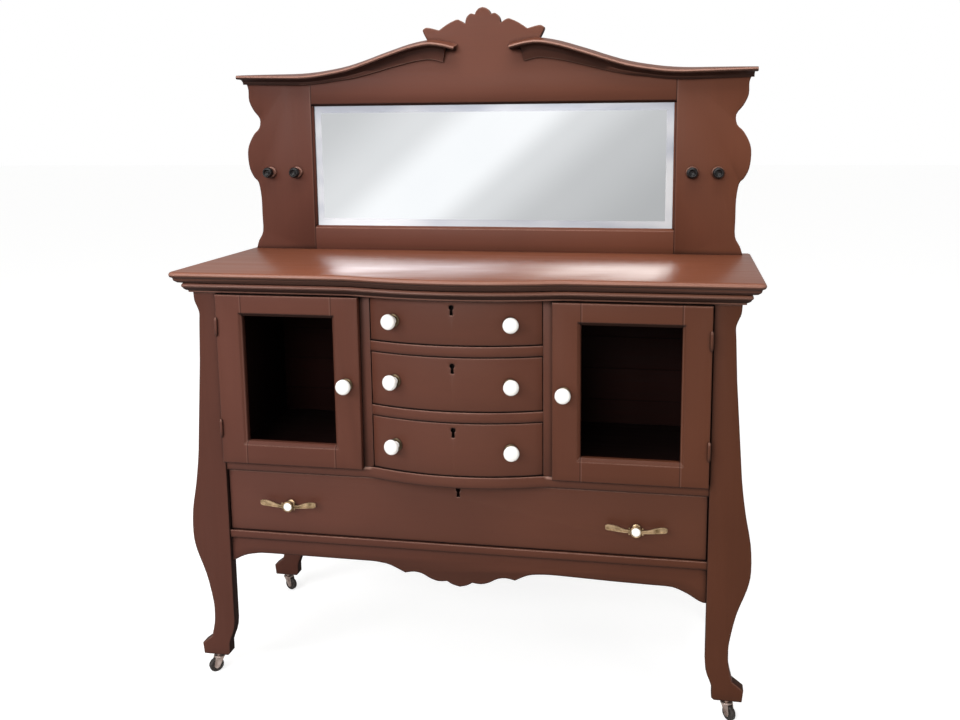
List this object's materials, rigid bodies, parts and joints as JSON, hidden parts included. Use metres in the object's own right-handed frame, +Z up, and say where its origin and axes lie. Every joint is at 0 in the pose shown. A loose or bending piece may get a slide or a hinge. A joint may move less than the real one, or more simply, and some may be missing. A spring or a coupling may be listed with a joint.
{
  "type": "chiffonier",
  "caption": "Painted chiffonier with a shaped mirror back, bowed drawers between open-panel cupboard doors, a long drawer and plank legs on swivel casters.",
  "frame": {"origin": "on the floor, under the middle of the overall box", "axes": "+X to the right seen from the front, +Y from the front to the back, +Z up"},
  "size_m": [1.2247, 0.493, 1.483],
  "materials": {
    "painted_wood": "satin red-brown paint with soft brush marks",
    "painted_top": "red-brown paint, rubbed to a soft gloss",
    "inside_wood": "dull dark red-brown stain",
    "drawer_wood": "bare aged wood",
    "porcelain": "white glazed porcelain",
    "brass": "aged brass",
    "black_peg": "black lacquer on turned wood",
    "mirror": "bevelled silvered glass",
    "caster_steel": "aged plated steel",
    "caster_wheel": "dark worn wheel"
  },
  "bodies": {
    "case": {"top_board": "painted_top", "top_moulding": "painted_wood", "waist_board": "painted_wood", "bottom_frame": "painted_wood", "drawer_divider_upper": "painted_wood", "drawer_divider_lower": "painted_wood", "apron": "painted_wood", "back_boards": "inside_wood", "side_panel_left": "painted_wood", "side_panel_right": "painted_wood", "partition_left": "painted_wood", "partition_right": "painted_wood", "leg_front_left": "painted_wood", "leg_front_right": "painted_wood", "leg_rear_left": "painted_wood", "leg_rear_right": "painted_wood", "upright_left": "painted_wood", "upright_right": "painted_wood", "mirror_rail": "painted_wood", "crest_board": "painted_wood", "swan_neck_left": "painted_wood", "swan_neck_right": "painted_wood", "mirror_glass": "mirror", "mirror_backing": "inside_wood", "peg_left_outer": "black_peg", "peg_left_inner": "black_peg", "peg_right_inner": "black_peg", "peg_right_outer": "black_peg", "hinge_upper_left": "painted_wood", "hinge_lower_left": "painted_wood", "hinge_upper_right": "painted_wood", "hinge_lower_right": "painted_wood"},
    "drawer_1": {"drawer_1_front": "painted_wood", "drawer_1_box": "drawer_wood", "drawer_1_knob_left": "porcelain", "drawer_1_knob_right": "porcelain"},
    "drawer_2": {"drawer_2_front": "painted_wood", "drawer_2_box": "drawer_wood", "drawer_2_knob_left": "porcelain", "drawer_2_knob_right": "porcelain"},
    "drawer_3": {"drawer_3_front": "painted_wood", "drawer_3_box": "drawer_wood", "drawer_3_knob_left": "porcelain", "drawer_3_knob_right": "porcelain"},
    "long_drawer": {"long_drawer_front": "painted_wood", "long_drawer_box": "drawer_wood", "pull_left": "brass", "pull_right": "brass"},
    "left_door": {"door_left": "painted_wood", "door_knob_left": "porcelain"},
    "right_door": {"door_right": "painted_wood", "door_knob_right": "porcelain"},
    "fork_front_left": {"caster_fork_front_left": "caster_steel"},
    "fork_front_right": {"caster_fork_front_right": "caster_steel"},
    "fork_rear_left": {"caster_fork_rear_left": "caster_steel"},
    "fork_rear_right": {"caster_fork_rear_right": "caster_steel"},
    "wheel_front_left": {"caster_wheel_front_left": "caster_wheel"},
    "wheel_front_right": {"caster_wheel_front_right": "caster_wheel"},
    "wheel_rear_left": {"caster_wheel_rear_left": "caster_wheel"},
    "wheel_rear_right": {"caster_wheel_rear_right": "caster_wheel"}
  },
  "joints": [
    {"name": "drawer_1_slide", "type": "slide", "parent": "case", "child": "drawer_1", "axis": [0, -1, 0], "range_m": [0, 0.3]},
    {"name": "drawer_2_slide", "type": "slide", "parent": "case", "child": "drawer_2", "axis": [0, -1, 0], "range_m": [0, 0.3]},
    {"name": "drawer_3_slide", "type": "slide", "parent": "case", "child": "drawer_3", "axis": [0, -1, 0], "range_m": [0, 0.3]},
    {"name": "long_drawer_slide", "type": "slide", "parent": "case", "child": "long_drawer", "axis": [0, -1, 0], "range_m": [0, 0.3]},
    {"name": "left_door_swing", "type": "hinge", "parent": "case", "child": "left_door", "pos_m": [-0.5095, -0.1989, 0.684], "axis": [0, 0, -1], "range_deg": [0, 110]},
    {"name": "right_door_swing", "type": "hinge", "parent": "case", "child": "right_door", "pos_m": [0.5095, -0.1989, 0.684], "axis": [0, 0, 1], "range_deg": [0, 110]},
    {"name": "swivel_front_left", "type": "hinge", "parent": "case", "child": "fork_front_left", "pos_m": [-0.55934, -0.1685, 0.044], "axis": [0, 0, 1], "continuous": true},
    {"name": "swivel_front_right", "type": "hinge", "parent": "case", "child": "fork_front_right", "pos_m": [0.55934, -0.1685, 0.044], "axis": [0, 0, 1], "continuous": true},
    {"name": "swivel_rear_left", "type": "hinge", "parent": "case", "child": "fork_rear_left", "pos_m": [-0.55934, 0.2335, 0.044], "axis": [0, 0, 1], "continuous": true},
    {"name": "swivel_rear_right", "type": "hinge", "parent": "case", "child": "fork_rear_right", "pos_m": [0.55934, 0.2335, 0.044], "axis": [0, 0, 1], "continuous": true},
    {"name": "roll_front_left", "type": "hinge", "parent": "fork_front_left", "child": "wheel_front_left", "pos_m": [-0.5651, -0.17406, 0.016], "axis": [0.6947, -0.7193, 0], "continuous": true},
    {"name": "roll_front_right", "type": "hinge", "parent": "fork_front_right", "child": "wheel_front_right", "pos_m": [0.56448, -0.17463, 0.016], "axis": [0.766, 0.6428, 0], "continuous": true},
    {"name": "roll_rear_left", "type": "hinge", "parent": "fork_rear_left", "child": "wheel_rear_left", "pos_m": [-0.55187, 0.23063, 0.016], "axis": [0.3584, 0.9336, 0], "continuous": true},
    {"name": "roll_rear_right", "type": "hinge", "parent": "fork_rear_right", "child": "wheel_rear_right", "pos_m": [0.55182, 0.23076, 0.016], "axis": [0.342, -0.9397, 0], "continuous": true}
  ]
}
